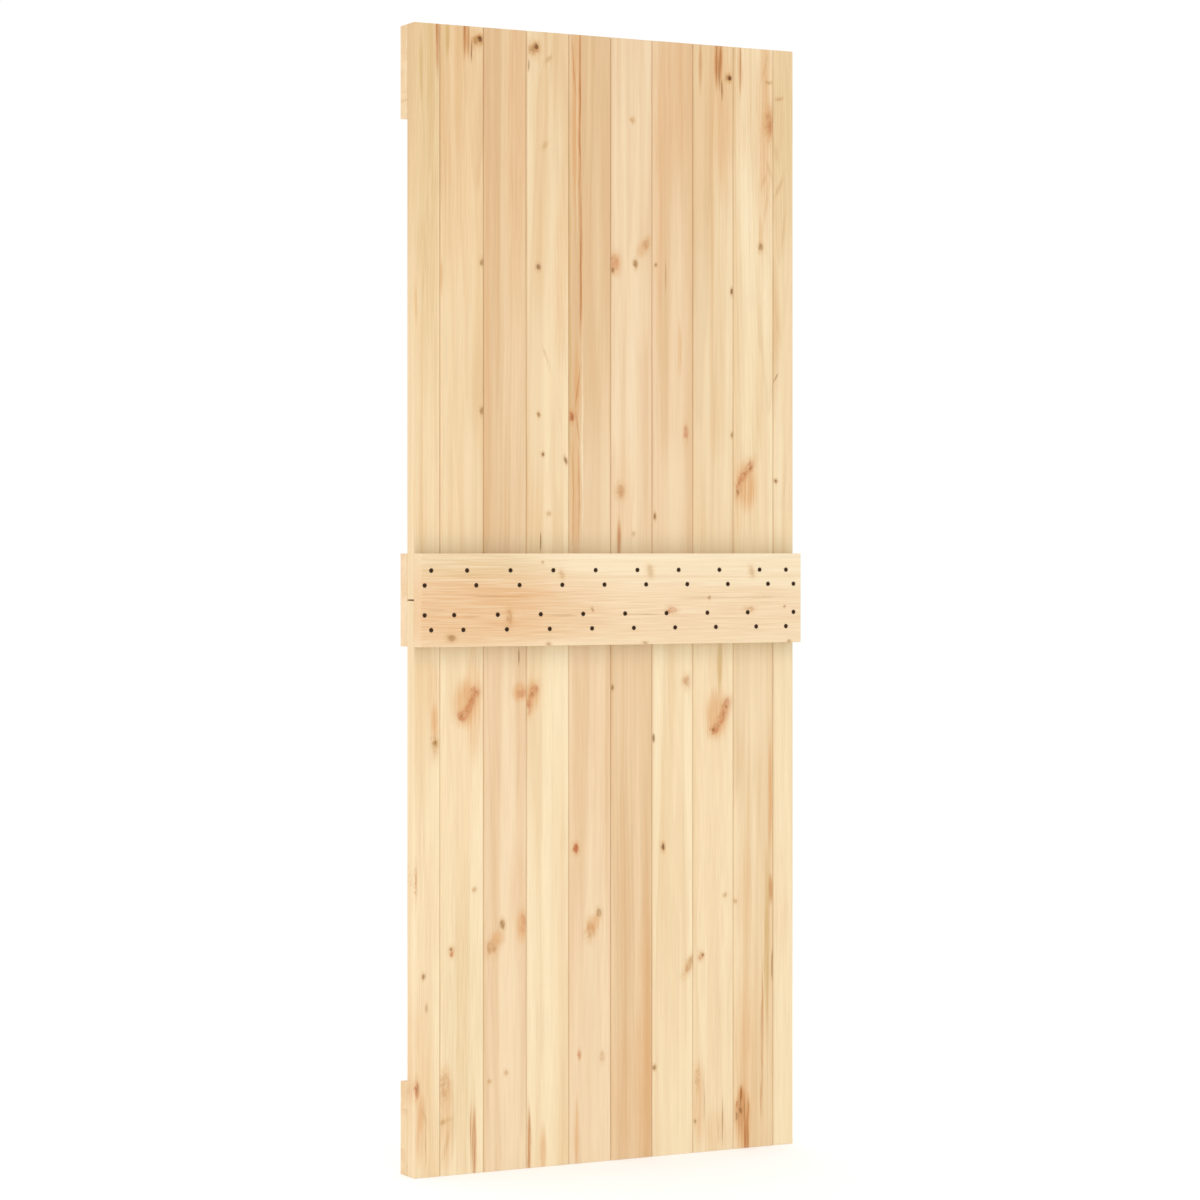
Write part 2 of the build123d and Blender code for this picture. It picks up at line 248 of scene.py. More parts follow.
UPPER_BOARDS = {
    "upper_left_edge_plank": Board(Tone.STRAW, -60, 30, 0.4, 7.5, (
        Mark(K.OCHRE, 26, 1860, 66, 960, 0.45),
        Mark(K.RESIN, 47, 2088, 8, 180),
        Mark(K.OCHRE, 14, 2020, 8, 150, 0.75),
        Mark(K.HEARTWOOD, 4, 1590, 6, 85, 0.7),
    ), contrast=1.5),
    "upper_plank_1": Board(Tone.STRAW, 25, 70, 0.9, 9, (
        Mark(K.HEARTWOOD, 96, 1940, 120, 760, 0.35),
        Mark(K.SAPWOOD, 118, 1220, 56, 440, 0.45),
        Mark(K.OCHRE, 67, 2078, 13, 90, 0.8),
        Mark(K.RESIN, 102, 2082, 7, 96),
        Mark(K.RESIN, 109, 2078, 6, 90),
        Mark(K.CHECK, 115, 2055, 3.5, 52),
        Mark(K.TAN_KNOT, 127, 2074, 24, 24),
        Mark(K.GREY_KNOT, 124, 2074, 10, 16, 0.75, 30),
        Mark(K.DARK_KNOT, 133, 2078, 11, 13),
        Mark(K.HEARTWOOD, 55, 1640, 6, 80, 0.8),
        Mark(K.GREY_KNOT, 137, 1670, 11, 14, 0.8),
        Mark(K.GREY_KNOT, 137, 1396, 9, 15),
    ), contrast=1.9),
    "upper_plank_2": Board(Tone.TAN, -55, 45, 0.5, 5.5, (
        Mark(K.HEARTWOOD, 206, 1890, 54, 820, 0.5),
        Mark(K.HEARTWOOD, 147, 1600, 14, 1100, 0.35),
    ), contrast=1.2),
    "upper_plank_3": Board(Tone.HONEY, 15, 30, -2.0, 8, (
        Mark(K.SAPWOOD, 250, 1430, 48, 460, 0.4),
        Mark(K.HEARTWOOD, 300, 1650, 40, 440, 0.4),
        Mark(K.TAN_KNOT, 244, 2068, 26, 26),
        Mark(K.GREY_KNOT, 241, 2067, 12, 14, 0.75, 30),
        Mark(K.DARK_KNOT, 248, 2072, 11, 11),
        Mark(K.CHECK, 232, 2036, 3, 28, 0.8),
        Mark(K.SMEAR, 274, 2051, 11, 20, 0.75, 50),
        Mark(K.SMEAR, 266, 1891, 12, 20, 0.65, 35),
        Mark(K.DARK_KNOT, 253, 1665, 10, 11, 0.6),
        Mark(K.SMEAR, 268, 1500, 6, 46, 0.45, -20),
        Mark(K.GREY_KNOT, 253, 1391, 8, 11),
        Mark(K.PIN_KNOT, 262, 1319, 7.5, 9),
        Mark(K.PIN_KNOT, 309, 1308, 8, 15, 0.9, -14),
        Mark(K.SMEAR, 274, 1208, 12, 10),
        Mark(K.CHECK, 257, 1155, 2.5, 44),
    ), wavy=0.75),
    "upper_plank_4": Board(Tone.TAN, -40, 60, 0.6, 7, (
        Mark(K.SAPWOOD, 365, 1220, 100, 430, 0.3),
        Mark(K.OCHRE, 318.5, 1620, 6, 980, 0.7),
        Mark(K.HEARTWOOD, 330, 1960, 20, 480, 1.1),
        Mark(K.SAPWOOD, 333, 1900, 5, 430, 0.4),
        Mark(K.RESIN, 326, 2050, 4, 150, 0.5, -4),
        Mark(K.RESIN, 339, 1960, 4.5, 470, 1.1),
        Mark(K.RESIN, 341, 1660, 5, 330, 1.1),
        Mark(K.HEARTWOOD, 333, 1455, 15, 170),
        Mark(K.HEARTWOOD, 330, 1240, 24, 360, 0.6),
        Mark(K.SAPWOOD, 344.5, 1340, 3.5, 480, 0.8),
        Mark(K.RESIN, 335, 1445, 3.5, 90, 0.6, 7),
        Mark(K.RESIN, 334, 1372, 3.5, 70, 0.6, -8),
        Mark(K.RESIN, 336.5, 1245, 3.5, 230, 0.7),
        Mark(K.RESIN, 325, 1255, 3, 240, 0.55),
        Mark(K.RED_KNOT, 322, 1389, 12, 22, 1.3),
        Mark(K.DARK_KNOT, 322, 1388, 8, 15, 0.3),
    ), contrast=1.0),
    "upper_plank_5": Board(Tone.BLUSH, 30, 75, -0.7, 10.5, (
        Mark(K.HEARTWOOD, 425, 1240, 60, 280, 0.3),
        Mark(K.SAPWOOD, 470, 1610, 40, 220, 0.3),
        Mark(K.TAN_KNOT, 450, 1948, 11, 12),
        Mark(K.RED_KNOT, 413, 1680, 20, 34, 0.75),
        Mark(K.HEARTWOOD, 416, 1676, 26, 60, 0.6),
        Mark(K.PIN_KNOT, 408, 1664, 5, 13),
        Mark(K.GREY_KNOT, 457, 1678, 10, 17),
        Mark(K.TAN_KNOT, 478, 1715, 18, 28, 1.1, 30),
        Mark(K.HEARTWOOD, 470, 1704, 26, 40, 0.5, 40),
        Mark(K.TAN_KNOT, 425, 1251, 22, 28),
        Mark(K.RESIN, 421, 1146, 9, 120, 0.8),
        Mark(K.SMEAR, 452, 1172, 10, 11),
    ), contrast=0.8),
    "upper_plank_6": Board(Tone.PEACH, 50, 50, 0.5, 8, (
        Mark(K.HEARTWOOD, 536, 1990, 110, 420, 0.35),
        Mark(K.HEARTWOOD, 505, 1780, 24, 680, 0.45),
        Mark(K.SAPWOOD, 540, 1240, 80, 280, 0.25),
        Mark(K.PIN_KNOT, 500, 1678, 6, 8, 0.8),
        Mark(K.CHECK, 521, 1659, 2.5, 76, 0.5),
        Mark(K.HEARTWOOD, 551, 1522, 11, 130, 0.7),
        Mark(K.RED_KNOT, 565, 1363, 12, 30, 0.7),
        Mark(K.PIN_KNOT, 497, 1205, 5, 15),
    ), contrast=0.95),
    "upper_plank_7": Board(Tone.HONEY, -30, 55, 0.7, 8, (
        Mark(K.HEARTWOOD, 645, 1990, 66, 420, 0.7),
        Mark(K.SAPWOOD, 602, 1500, 56, 640, 0.35),
        Mark(K.SAPWOOD, 640, 1235, 70, 300, 0.35),
        Mark(K.RESIN, 596, 2062, 7, 120, 0.6),
        Mark(K.RESIN, 632, 2074, 10, 120, 1.1),
        Mark(K.RESIN, 640, 2066, 6, 110, 1.1),
        Mark(K.CHECK, 637, 2046, 3, 70, 0.8),
        Mark(K.CHECK, 644, 2016, 3, 48),
        Mark(K.GREY_KNOT, 654, 2040, 10, 14, 0.75),
        Mark(K.DARK_KNOT, 660, 2040, 9, 12),
        Mark(K.DARK_KNOT, 665, 1634, 8, 12, 0.75),
        Mark(K.GREY_KNOT, 666, 1361, 8, 12),
    ), contrast=1.5),
    "upper_plank_8": Board(Tone.CREAM, 30, 26, 2.4, 8, (
        Mark(K.HEARTWOOD, 738, 1950, 52, 560, 0.8),
        Mark(K.HEARTWOOD, 690, 2000, 54, 330, 0.35),
        Mark(K.HEARTWOOD, 690, 1230, 44, 250, 0.25),
        Mark(K.SAPWOOD, 736, 1240, 40, 320, 0.35),
        Mark(K.RESIN, 683, 2064, 7, 130, 0.7),
        Mark(K.SMEAR, 738, 2066, 5, 60, 0.4, 14),
        Mark(K.SMEAR, 746, 2037, 18, 7, 1.2),
        Mark(K.HEARTWOOD, 745, 1962, 30, 76, 0.8),
        Mark(K.TAN_KNOT, 746, 1957, 20, 56, 1.1),
        Mark(K.RED_KNOT, 749, 1950, 9, 36, 0.5),
        Mark(K.SMEAR, 735, 1848, 7, 30, 0.5, 20),
        Mark(K.SMEAR, 748, 1868, 8, 46, 0.45, -18),
        Mark(K.SMEAR, 740, 1800, 8, 60, 0.4, 8),
        Mark(K.HEARTWOOD, 728, 1752, 9, 66, 0.8),
        Mark(K.GREY_KNOT, 728, 1721, 12, 17),
        Mark(K.HEARTWOOD, 696, 1262, 52, 110, 1.3),
        Mark(K.RED_KNOT, 703, 1299, 20, 36, 0.75, 32),
        Mark(K.RED_KNOT, 688, 1281, 18, 28, 0.7, 40),
        Mark(K.RED_KNOT, 679, 1258, 12, 38, 0.7, 8),
        Mark(K.PIN_KNOT, 705, 1297, 5, 9, 0.8, 30),
        Mark(K.PIN_KNOT, 677, 1252, 4, 10, 0.7),
        Mark(K.PIN_KNOT, 693, 1287, 9, 5, 0.4, 40),
        Mark(K.PIN_KNOT, 683, 1270, 4, 10, 0.4, 25),
    ), contrast=1.2, wavy=0.85),
    "upper_right_edge_plank": Board(Tone.STRAW, -8, 18, 2.4, 7, (
        Mark(K.OCHRE, 780, 1950, 64, 560, 0.4),
        Mark(K.SAPWOOD, 766, 1310, 30, 480, 0.8),
        Mark(K.SMEAR, 770, 2007, 20, 8, 0.9, -10),
        Mark(K.SMEAR, 769, 1838, 9, 50, 0.6, 24),
        Mark(K.SMEAR, 763, 1900, 8, 46, 0.4, -10),
        Mark(K.SMEAR, 780, 1760, 9, 90, 0.35, 6),
        Mark(K.CHECK, 762, 1473, 3, 22, 0.8, 25),
        Mark(K.PIN_KNOT, 762, 1274, 7, 9),
    ), contrast=1.4, wavy=0.85),
}

LOWER_BOARDS = {
    "lower_left_edge_plank": Board(Tone.CREAM, 40, 60, 0.6, 9, (
        Mark(K.HEARTWOOD, 12, 200, 44, 460, 0.5),
        Mark(K.HEARTWOOD, 42, 870, 28, 220, 0.55),
        Mark(K.HEARTWOOD, 26, 490, 60, 320, 0.25),
        Mark(K.HEARTWOOD, 41, 832, 15, 72),
        Mark(K.TAN_KNOT, 42, 786, 18, 46, 0.6),
        Mark(K.GREY_KNOT, 42, 789, 11, 13, 0.9),
        Mark(K.PIN_KNOT, 43, 790, 4, 5, 0.8),
        Mark(K.TAN_KNOT, 4, 540, 5, 66, 0.8),
        Mark(K.PIN_KNOT, 19, 365, 8, 13, 0.8),
        Mark(K.PIN_KNOT, 25, 307, 5, 18, 0.4),
        Mark(K.HEARTWOOD, 14, 120, 16, 80, 0.8),
        Mark(K.RED_KNOT, 6, 160, 11, 34, 0.95),
        Mark(K.DARK_KNOT, 6.5, 163, 5, 16, 0.35),
        Mark(K.HEARTWOOD, 11, 74, 15, 130, 0.6),
        Mark(K.SMEAR, 20, 112, 7, 36, 0.4, -20),
        Mark(K.CHECK, 23, 70, 2.5, 150, 0.4),
    ), wavy=0.8),
    "lower_plank_1": Board(Tone.CREAM, -20, 70, 0.8, 11.5, (
        Mark(K.HEARTWOOD, 122, 860, 44, 260, 0.65),
        Mark(K.OCHRE, 96, 280, 110, 640, 0.25),
        Mark(K.HEARTWOOD, 96, 720, 110, 720, 0.14),
        Mark(K.HEARTWOOD, 104, 862, 56, 104, 1.2),
        Mark(K.RED_KNOT, 122, 880, 26, 26, 0.75, 40),
        Mark(K.RED_KNOT, 113, 857, 18, 46, 0.75, 24),
        Mark(K.RED_KNOT, 98, 838, 23, 26, 0.75, 40),
        Mark(K.PIN_KNOT, 96, 838, 6, 8, 0.7),
        Mark(K.PIN_KNOT, 125, 881, 5, 6, 0.5),
        Mark(K.PIN_KNOT, 117, 866, 4, 10, 0.4, 20),
        Mark(K.PIN_KNOT, 107, 847, 9, 5, 0.4, 30),
        Mark(K.SMEAR, 122, 519, 10, 10),
        Mark(K.TAN_KNOT, 76, 409, 12, 20, 0.8),
        Mark(K.PIN_KNOT, 74, 413, 5, 7, 0.8),
        Mark(K.RED_KNOT, 76, 403, 6, 9, 0.8),
        Mark(K.HEARTWOOD, 65, 100, 32, 230, 0.7),
        Mark(K.TAN_KNOT, 62, 164, 24, 54, 0.8),
        Mark(K.CHECK, 78, 110, 2.5, 190, 0.25),
        Mark(K.SMEAR, 58, 98, 13, 11),
        Mark(K.SMEAR, 70, 102, 20, 9, 0.4, -24),
        Mark(K.SMEAR, 64, 56, 8, 60, 0.4, 14),
        Mark(K.RESIN, 115, 76, 4, 140, 0.55),
        Mark(K.RESIN, 121, 52, 9, 160, 0.8),
    ), contrast=0.5, wavy=0.7),
    "lower_plank_2": Board(Tone.BLUSH, -5, 24, 1.6, 9, (
        Mark(K.HEARTWOOD, 210, 500, 40, 260, 0.3),
        Mark(K.CHECK, 212, 945, 3, 40),
        Mark(K.HEARTWOOD, 214, 880, 36, 44, 1.1),
        Mark(K.RED_KNOT, 218, 877, 28, 18, 0.55),
        Mark(K.GREY_KNOT, 179, 452, 12, 20),
        Mark(K.RED_KNOT, 221, 452, 15, 42, 0.7),
        Mark(K.HEARTWOOD, 218, 446, 22, 70, 0.9),
        Mark(K.TAN_KNOT, 158, 413, 26, 32, 1.0, 25),
        Mark(K.HEARTWOOD, 170, 428, 30, 36, 0.9, 40),
        Mark(K.SMEAR, 186, 179, 12, 12),
        Mark(K.SMEAR, 152, 165, 10, 10),
    ), contrast=0.85, wavy=0.8),
    "lower_plank_3": Board(Tone.CREAM, -15, 80, 0.7, 12.5, (
        Mark(K.HEARTWOOD, 240, 872, 30, 72, 1.1),
        Mark(K.RED_KNOT, 243, 880, 20, 32, 0.75, 32),
        Mark(K.RED_KNOT, 234, 855, 9, 40, 0.75),
        Mark(K.PIN_KNOT, 240, 876, 5, 6, 0.6),
        Mark(K.RESIN, 233, 46, 8, 160, 0.9),
        Mark(K.HEARTWOOD, 262, 22, 15, 130),
    ), contrast=0.7),
    "lower_plank_4": Board(Tone.BLUSH, -45, 65, 0.5, 8, (
        Mark(K.HEARTWOOD, 329, 620, 28, 1700, 0.15),
        Mark(K.HEARTWOOD, 382, 760, 44, 560, 0.18),
        Mark(K.RED_KNOT, 330, 587, 15, 20, 1.35),
        Mark(K.GREY_KNOT, 379, 464, 13, 18, 0.8),
        Mark(K.TAN_KNOT, 361, 433, 22, 34, 1.1),
        Mark(K.HEARTWOOD, 368, 444, 28, 50, 0.9, 30),
        Mark(K.RED_KNOT, 338, 202, 8, 19, 0.8),
        Mark(K.TAN_KNOT, 386, 195, 10, 22, 0.7),
        Mark(K.HEARTWOOD, 332, 52, 11, 170),
    )),
    "lower_plank_5": Board(Tone.TAN, 55, 45, 0.5, 6, (
        Mark(K.HEARTWOOD, 440, 120, 110, 320, 0.3),
        Mark(K.PIN_KNOT, 408, 884, 5, 11, 0.8),
        Mark(K.HEARTWOOD, 478, 190, 40, 700, 0.6),
    ), contrast=1.25),
    "lower_plank_6": Board(Tone.CREAM, 15, 70, -0.8, 11, (
        Mark(K.TAN_KNOT, 566, 893, 18, 26, 0.8),
        Mark(K.CHECK, 496, 787, 4, 20),
        Mark(K.DARK_KNOT, 515, 582, 8, 14),
        Mark(K.TAN_KNOT, 570, 352, 16, 36, 0.9, 30),
        Mark(K.SMEAR, 577, 366, 16, 24, 0.8, 40),
        Mark(K.GREY_KNOT, 497, 167, 8, 12),
    )),
    "lower_plank_7": Board(Tone.CREAM, 10, 65, 0.9, 11, (
        Mark(K.HEARTWOOD, 622, 600, 110, 1300, 0.24),
        Mark(K.OCHRE, 638, 925, 13, 130),
        Mark(K.HEARTWOOD, 632, 830, 58, 110, 1.2),
        Mark(K.RED_KNOT, 653, 846, 19, 32, 0.75, 24),
        Mark(K.RED_KNOT, 643, 822, 19, 42, 0.75, 30),
        Mark(K.RED_KNOT, 627, 801, 23, 26, 0.8, 42),
        Mark(K.PIN_KNOT, 624, 799, 6, 8, 0.8),
        Mark(K.PIN_KNOT, 652, 844, 5, 9, 0.6),
        Mark(K.PIN_KNOT, 646, 829, 4, 10, 0.4, 20),
        Mark(K.PIN_KNOT, 635, 809, 9, 5, 0.4, 30),
        Mark(K.SMEAR, 650, 486, 12, 10),
        Mark(K.TAN_KNOT, 597, 372, 14, 18, 0.8),
        Mark(K.PIN_KNOT, 601, 374, 6, 8, 0.9),
        Mark(K.HEARTWOOD, 632, 34, 80, 120, 0.4),
        Mark(K.HEARTWOOD, 593, 92, 30, 190, 0.7),
        Mark(K.TAN_KNOT, 591, 140, 14, 50, 0.45),
        Mark(K.CHECK, 605, 104, 2.5, 130, 0.3),
        Mark(K.PIN_KNOT, 585, 60, 6, 9, 0.6),
        Mark(K.CHECK, 644, 52, 2.5, 110, 0.65),
        Mark(K.CHECK, 636, 40, 2.5, 60, 0.25),
    ), contrast=0.5, wavy=0.75),
    "lower_plank_8": Board(Tone.HONEY, -35, 50, 0.7, 8, (
        Mark(K.SAPWOOD, 712, 880, 110, 320, 0.42),
        Mark(K.HEARTWOOD, 690, 170, 56, 440, 0.5),
        Mark(K.HEARTWOOD, 692, 485, 44, 240, 0.25),
        Mark(K.SMEAR, 673, 472, 10, 10),
        Mark(K.HEARTWOOD, 750, 675, 11, 240, 1.3),
        Mark(K.RESIN, 750, 492, 9, 66),
        Mark(K.OCHRE, 742, 380, 14, 420, 0.8),
        Mark(K.CHECK, 754, 348, 3.5, 74),
        Mark(K.RESIN, 732, 216, 6, 310, 0.6),
        Mark(K.HEARTWOOD, 690, 50, 36, 150, 1.1),
        Mark(K.RESIN, 685, 72, 24, 110, 0.5),
        Mark(K.RESIN, 685, 104, 8, 36),
        Mark(K.CHECK, 686, 106, 3, 26, 0.6),
        Mark(K.DARK_KNOT, 684, 72, 8, 15, 0.6),
        Mark(K.CHECK, 684, 88, 3, 40, 0.6),
        Mark(K.RED_KNOT, 676, 84, 6, 18, 0.8),
        Mark(K.DARK_KNOT, 675, 62, 6, 18, 0.55),
        Mark(K.CHECK, 692, 62, 2.5, 96, 0.7),
        Mark(K.RESIN, 701, 72, 4, 70, 0.8),
        Mark(K.RESIN, 697, 20, 13, 110, 1.1),
        Mark(K.RESIN, 730, 90, 5, 90, 0.5),
    ), contrast=1.5),
    "lower_right_edge_plank": Board(Tone.CREAM, 30, 80, 0.5, 12, (
        Mark(K.HEARTWOOD, 774, 460, 36, 320, 0.25),
    ), contrast=0.5),
}

RAIL_BOARDS = {
    "front_middle_rail": Board(Tone.IVORY, 40, 60, 0.4, 8.5, (
        Mark(K.HEARTWOOD, 420, 1026, 1500, 140, 0.45),
        Mark(K.HEARTWOOD, 90, 1036, 640, 190, 0.9),
        Mark(K.OCHRE, 110, 1112, 420, 64, 0.35),
        Mark(K.HEARTWOOD, 150, 1062, 260, 34, 0.5),
        Mark(K.GREY_KNOT, 61, 981, 19, 14, 1.0),
        Mark(K.TAN_KNOT, 178, 1017, 15, 34, 0.95),
        Mark(K.PIN_KNOT, 247, 1119, 6, 6, 0.5),
        Mark(K.SMEAR, 286, 1096, 12, 20, 0.8, -20),
        Mark(K.GREY_KNOT, 259, 968, 10, 9, 0.7),
        Mark(K.PIN_KNOT, 350, 1031, 6, 10, 0.5),
        Mark(K.SMEAR, 471, 1102, 16, 28, 0.8, -14),
        Mark(K.SMEAR, 691, 1100, 13, 27, 0.8, -18),
        Mark(K.PIN_KNOT, 599, 1051, 6, 9, 0.6),
        Mark(K.RED_KNOT, 518, 1028, 23, 16, 0.7),
        Mark(K.TAN_KNOT, 686, 1029, 24, 12, 0.7),
        Mark(K.PIN_KNOT, 764, 1033, 6, 6, 0.6),
        Mark(K.GREY_KNOT, 461, 968, 12, 8, 0.7),
        Mark(K.GREY_KNOT, 774, 967, 10, 8, 0.7),
        Mark(K.CHECK, 30, 1032, 54, 2.5, 0.35),
        Mark(K.CHECK, 102, 1020, 40, 2.5, 0.3),
        Mark(K.CHECK, 290, 1021, 76, 2.5, 0.3),
        Mark(K.CHECK, 455, 1021, 100, 2.5, 0.4),
        Mark(K.CHECK, 155, 1057, 140, 2.5, 0.25),
        Mark(K.CHECK, 660, 1051, 280, 2.5, 0.3),
    ), glue_lines=(1089, 1018), contrast=0.5, wavy=0.75),
    "back_top_rail": Board(Tone.STRAW, -30, 55, 0.7, 7.5, (
        Mark(K.TAN_KNOT, 214, 2046, 22, 14),
        Mark(K.DARK_KNOT, 588, 1972, 13, 9),
        Mark(K.PIN_KNOT, 3, 1962, 6, 7),
        Mark(K.RESIN, 690, 2012, 150, 6, 0.7),
    ), glue_lines=(2034, 1976)),
    "back_middle_rail": Board(Tone.BLUSH, 20, 60, -0.6, 8.5, (
        Mark(K.RED_KNOT, 330, 1078, 18, 12),
        Mark(K.TAN_KNOT, 655, 1003, 24, 14),
        Mark(K.CHECK, 120, 1034, 90, 2.5, 0.6),
    ), glue_lines=(1080, 1012)),
    "back_bottom_rail": Board(Tone.STRAW, 35, 50, 0.5, 7, (
        Mark(K.GREY_KNOT, 150, 118, 14, 10),
        Mark(K.TAN_KNOT, 470, 60, 24, 15),
        Mark(K.RESIN, 610, 92, 170, 6, 0.6),
    ), glue_lines=(122, 48)),
}


@dataclass(frozen=True)
class PlanedPine:
    """Planed, unfinished pine.

    The planer leaves a matt face whose latewood lines are denser, smoother and a little raised. The eye sees
    long soft bands, darker ring lines, fine fibres and knots that turn the rings.
    """

    warp_across: float = 55.0  # size of the waves in the rings, across the grain
    warp_along: float = 480.0
    warp_height: float = 11.0
    band_across: float = 30.0
    band_along: float = 900.0
    band_range: tuple[float, float] = (0.38, 0.66)  # of the noise, over which a band comes up
    band_share: float = 0.9
    stripe_across: float = 10.0
    stripe_along: float = 700.0
    stripe_range: tuple[float, float] = (0.46, 0.74)
    stripe_share: float = 0.32
    stripe_tint: str = "#CBA06A"
    calm_range: tuple[float, float] = (0.36, 0.64)  # of the bands' noise, over which rings come up
    calm_least: float = 0.25  # how much of rings and stripes is left between the bands
    fibre_across: float = 1.6  # real fibres are far finer, these are as coarse as the render can show
    fibre_along: float = 90.0
    fibre_range: tuple[float, float] = (0.42, 0.7)
    fibre_share: float = 0.14
    fibre_tint: str = "#B59063"
    year: tuple[tuple[float, float], ...] = (  # how a ring darkens, from its first wood to its last
        (0.0, 0.0), (0.4, 0.12), (0.78, 0.8), (0.9, 1.0), (1.0, 0.0),
    )
    ring_share: float = 0.5
    ring_least: float = 0.25  # strength of the faintest ring
    strip_shift: float = 37.0  # of the log's heart, from one glued strip to the next
    strip_sink: float = 37.0 / 3  # the same in depth
    strip_seed: float = 7.3  # between the noises of two glued strips
    edge_size: float = 7.5  # of the waves in the outline of a knot
    edge_height: float = 9.0
    edge_rough: float = 0.7
    knot_along: float = 1.6  # how far the waves in the outline of a knot are drawn out
    streak_along: float = 14.0  # the same for a streak
    knot_heart: float = 0.5  # share of a knot that has its full colour, the rest fades
    streak_heart: float = 0.35
    core_rim: float = 1.1  # where a mark's core fades out, in half sizes of it
    halo_heart: float = 0.2  # share of the stain that has its full colour
    halo_rim: float = 1.0
    fleck_range: tuple[float, float] = (0.38, 0.6)  # of the noise, over which a broken mark turns whole
    knot_reach: float = 3.4  # how far from a knot the rings still bend, in half sizes of it
    knot_flow: float = 6.5  # the same along the grain
    knot_push: float = 0.62
    end_range: tuple[float, float] = (0.7, 0.95)  # cosine of the face's normal to the grain
    end_share: float = 0.35
    end_tint: str = "#E6C69E"
    # painted shade: a grey that darkens the planks beside the middle rails, in place of the shade in the
    # corner
    corner_shade_tint: str = "#A3A58F"
    corner_shade_share: float = 0.25
    corner_shade_reach: float = 50.0  # up and down the planks, from the edges of the middle rails
    late_roughness: float = 0.48
    early_roughness: float = 0.66
    specular: float = 0.35
    relief: float = 0.35  # height of the latewood lines
    relief_strength: float = 0.5
    fibre_relief: float = 0.5  # height of the fibres, against that of the latewood lines

    def stretched(self, graph: Graph, place: Any, across: float, along: float, seed: Any, detail: float,
                  rough: float = 0.5) -> Any:
        """Adds noise that is drawn out along the grain.

        Args:
            graph: the material's nodes.
            place: the socket of the place, with the grain along Z.
            across: size of the noise across the grain, in millimetres.
            along: size along the grain.
            seed: a number, or a socket with one.
            detail: how many finer octaves are added.
            rough: how strong each octave is, against the one before it.

        Returns:
            The noise's value socket; its node also has a colour.
        """
        scale = (1 / (across * MM), 1 / (across * MM), 1 / (along * MM))
        drawn = graph.add("Mapping", {0: place, "Scale": scale})
        inputs = {"Vector": drawn, "W": seed, "Scale": 1.0, "Detail": detail, "Roughness": rough}
        return graph.add("TexNoise", inputs, noise_dimensions="4D")

    def mark(self, graph: Graph, mark: Mark, grain: Grain, place: Any, fleck: Any, colour: Any) -> Any:
        """Colours one mark into the wood.

        The core's distance is the length of the offset from the mark's middle, in half sizes, so that its
        outline is at 1. The stain's distance is the same in a shape that reaches further, most of all along
        the grain.

        Args:
            graph: the material's nodes.
            mark: the mark.
            grain: the way the board's grain runs.
            place: socket of the place on the door, with the outline's waves in it.
            fleck: socket of the fibres, or of the flecks in a knot.
            colour: socket of the wood's colour so far.

        Returns:
            The socket of the new colour.
        """
        look = mark.kind.value
        half = (mark.wide * MM / 2, ANY_DEPTH, mark.tall * MM / 2)
        inputs = {0: place, "Location": door_point(mark.across, mark.up), "Scale": half,
                  "Rotation": (0.0, math.radians(mark.lean), 0.0)}
        offset = graph.add("Mapping", inputs, vector_type="TEXTURE")
        low, high = self.fleck_range
        whole = graph.add("MapRange", {0: fleck, 1: low, 2: high, 3: 1.0 - look.broken, 4: 1.0})
        reach = (1 / look.halo_across, 0.0, 1 / look.halo_along)
        if grain is Grain.SIDEWAYS:
            reach = reach[::-1]
        wider = graph.add("VectorMath", {0: offset, 1: reach}, operation="MULTIPLY")
        heart = self.knot_heart if look.bends_rings else self.streak_heart
        for shape, tint, share, rim, full in (
            (wider, look.halo, look.halo_share, self.halo_rim, self.halo_heart),
            (offset, look.core, look.core_share, self.core_rim, heart),
        ):
            distance = graph.add("VectorMath", {0: shape}, out=VECTOR_VALUE, operation="LENGTH")
            inputs = {0: distance, 1: rim, 2: full, 3: 0.0, 4: share * mark.share}
            cover = graph.add("MapRange", inputs, interpolation_type="SMOOTHSTEP")
            broken = graph.add("Math", {0: cover, 1: whole}, operation="MULTIPLY")
            tints = {0: broken, MIX_FROM: colour, MIX_TO: linear(tint)}
            colour = graph.add("Mix", tints, out=MIXED, data_type="RGBA")
        return colour

    def part(self, graph: Graph, mark: Mark, grain: Grain, place: Any) -> Any:
        """Parts the rings round a knot, as a stream parts round a stone.

        The place at which the rings are read moves towards the knot's middle, across the grain, by a share
        of its offset that fades to nothing a little way off, most slowly along the grain.

        Args:
            graph: the material's nodes.
            mark: the knot.
            grain: the way the board's grain runs.
            place: socket of the place on the door.

        Returns:
            The socket of the moved place.
        """
        half = np.array([mark.wide, 0.0, mark.tall]) * MM / 2
        way = np.array([1.0, 0.0, 0.0]) if grain is Grain.UPRIGHT else np.array([0.0, 0.0, 1.0])
        reach = half * np.where(way > 0, self.knot_reach, self.knot_flow)
        reach[Y] = ANY_DEPTH
        inputs = {0: place, "Location": door_point(mark.across, mark.up), "Scale": reach.tolist()}
        offset = graph.add("Mapping", inputs, vector_type="TEXTURE")
        distance = graph.add("VectorMath", {0: offset}, out=VECTOR_VALUE, operation="LENGTH")
        inputs = {0: distance, 1: 1.0, 2: 0.0, 3: 0.0, 4: self.knot_push}
        push = graph.add("MapRange", inputs, interpolation_type="SMOOTHSTEP")
        move = graph.add("VectorMath", {0: offset, "Scale": push}, operation="SCALE")
        inputs = {0: move, 1: (-way * reach).tolist(), 2: place}
        return graph.add("VectorMath", inputs, operation="MULTIPLY_ADD")

